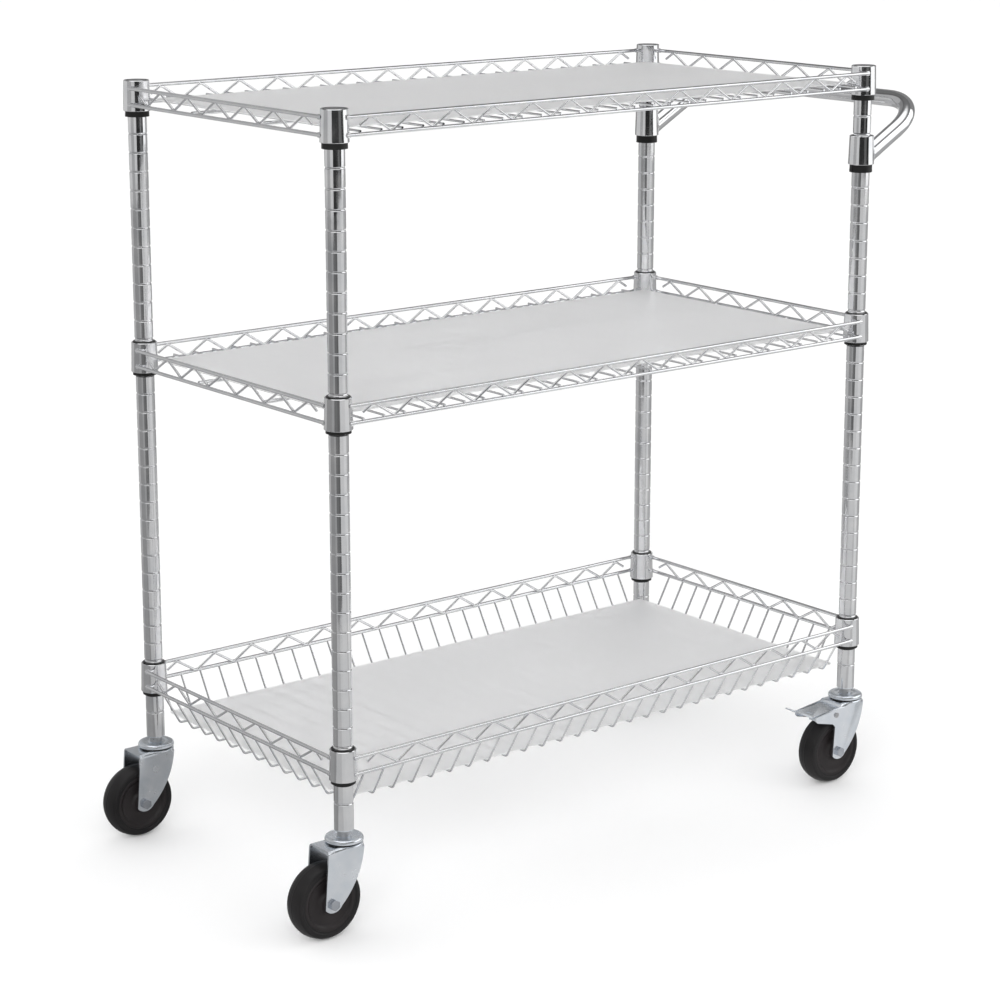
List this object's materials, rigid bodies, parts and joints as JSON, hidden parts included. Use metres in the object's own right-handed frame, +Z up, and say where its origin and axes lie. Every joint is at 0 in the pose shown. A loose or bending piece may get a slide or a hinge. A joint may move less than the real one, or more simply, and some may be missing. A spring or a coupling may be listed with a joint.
{
  "type": "wire shelf cart",
  "caption": "Chromed wire utility cart with flat shelves above a shallow basket, grooved posts, plastic shelf liners, a bent-tube push handle and swivel casters.",
  "frame": {"origin": "on the floor below the middle of the overall box, handle included", "axes": "+Z up, +X towards the push handle, +Y across the cart's depth"},
  "size_m": [1.1424, 0.5112, 1.06],
  "materials": {
    "chrome_plate": "bright chrome plate over steel wire and tube",
    "zinc_plate": "bright zinc plate on pressed steel",
    "black_plastic": "satin moulded black plastic",
    "frosted_plastic": "frosted translucent grey sheet",
    "tyre_rubber": "satin black rubber",
    "wheel_plastic": "moulded black plastic",
    "bearing_steel": "turned bright steel",
    "post_cap_plastic": "moulded dark grey plastic"
  },
  "bodies": {
    "cart": {"front_left_post": "chrome_plate", "front_right_post": "chrome_plate", "rear_left_post": "chrome_plate", "rear_right_post": "chrome_plate", "post_caps": "post_cap_plastic", "caster_sockets": "zinc_plate", "top_shelf_collars": "chrome_plate", "top_shelf_upper_rails": "chrome_plate", "top_shelf_lower_rails": "chrome_plate", "top_shelf_truss_wires": "chrome_plate", "top_shelf_deck": "chrome_plate", "top_shelf_liner": "frosted_plastic", "top_shelf_sleeves": "black_plastic", "middle_shelf_collars": "chrome_plate", "middle_shelf_upper_rails": "chrome_plate", "middle_shelf_lower_rails": "chrome_plate", "middle_shelf_truss_wires": "chrome_plate", "middle_shelf_deck": "chrome_plate", "middle_shelf_liner": "frosted_plastic", "middle_shelf_sleeves": "black_plastic", "basket_collars": "chrome_plate", "basket_upper_rails": "chrome_plate", "basket_truss_wires": "chrome_plate", "basket_front_wall": "chrome_plate", "basket_rear_wall": "chrome_plate", "basket_left_wall": "chrome_plate", "basket_right_wall": "chrome_plate", "basket_floor": "chrome_plate", "basket_liner": "frosted_plastic", "basket_sleeves": "black_plastic", "handle_tube": "chrome_plate", "handle_collars": "chrome_plate", "handle_sleeves": "black_plastic", "caster_stems": "bearing_steel", "swivel_caps": "zinc_plate", "swivel_balls": "bearing_steel"},
    "front_left_swivel": {"front_left_fork": "zinc_plate", "front_left_axle_bolt": "zinc_plate", "front_left_axle_bush": "bearing_steel"},
    "front_left_wheel": {"front_left_wheel_core": "wheel_plastic", "front_left_tyre": "tyre_rubber"},
    "front_right_swivel": {"front_right_fork": "zinc_plate", "front_right_axle_bolt": "zinc_plate", "front_right_axle_bush": "bearing_steel", "front_right_brake_pin": "bearing_steel"},
    "front_right_wheel": {"front_right_wheel_core": "wheel_plastic", "front_right_tyre": "tyre_rubber"},
    "front_right_pedal": {"front_right_brake_pedal": "zinc_plate"},
    "rear_left_swivel": {"rear_left_fork": "zinc_plate", "rear_left_axle_bolt": "zinc_plate", "rear_left_axle_bush": "bearing_steel"},
    "rear_left_wheel": {"rear_left_wheel_core": "wheel_plastic", "rear_left_tyre": "tyre_rubber"},
    "rear_right_swivel": {"rear_right_fork": "zinc_plate", "rear_right_axle_bolt": "zinc_plate", "rear_right_axle_bush": "bearing_steel", "rear_right_brake_pin": "bearing_steel"},
    "rear_right_wheel": {"rear_right_wheel_core": "wheel_plastic", "rear_right_tyre": "tyre_rubber"},
    "rear_right_pedal": {"rear_right_brake_pedal": "zinc_plate"}
  },
  "joints": [
    {"name": "front_left_swivel_turn", "type": "hinge", "parent": "cart", "child": "front_left_swivel", "pos_m": [-0.4872, -0.2286, 0.123], "axis": [0, 0, 1], "continuous": true},
    {"name": "front_left_wheel_spin", "type": "hinge", "parent": "front_left_swivel", "child": "front_left_wheel", "pos_m": [-0.5202, -0.2286, 0.051], "axis": [0, 1, 0], "continuous": true},
    {"name": "front_right_swivel_turn", "type": "hinge", "parent": "cart", "child": "front_right_swivel", "pos_m": [0.4272, -0.2286, 0.123], "axis": [0, 0, 1], "continuous": true},
    {"name": "front_right_wheel_spin", "type": "hinge", "parent": "front_right_swivel", "child": "front_right_wheel", "pos_m": [0.3942, -0.2286, 0.051], "axis": [0, 1, 0], "continuous": true},
    {"name": "front_right_brake_press", "type": "hinge", "parent": "front_right_swivel", "child": "front_right_pedal", "pos_m": [0.3872, -0.2286, 0.109], "axis": [0, 1, 0], "range_deg": [-8, 0]},
    {"name": "rear_left_swivel_turn", "type": "hinge", "parent": "cart", "child": "rear_left_swivel", "pos_m": [-0.4872, 0.2286, 0.123], "axis": [0, 0, 1], "continuous": true},
    {"name": "rear_left_wheel_spin", "type": "hinge", "parent": "rear_left_swivel", "child": "rear_left_wheel", "pos_m": [-0.5202, 0.2286, 0.051], "axis": [0, 1, 0], "continuous": true},
    {"name": "rear_right_swivel_turn", "type": "hinge", "parent": "cart", "child": "rear_right_swivel", "pos_m": [0.4272, 0.2286, 0.123], "axis": [0, 0, 1], "continuous": true},
    {"name": "rear_right_wheel_spin", "type": "hinge", "parent": "rear_right_swivel", "child": "rear_right_wheel", "pos_m": [0.3942, 0.2286, 0.051], "axis": [0, 1, 0], "continuous": true},
    {"name": "rear_right_brake_press", "type": "hinge", "parent": "rear_right_swivel", "child": "rear_right_pedal", "pos_m": [0.3872, 0.2286, 0.109], "axis": [0, 1, 0], "range_deg": [-8, 0]}
  ]
}
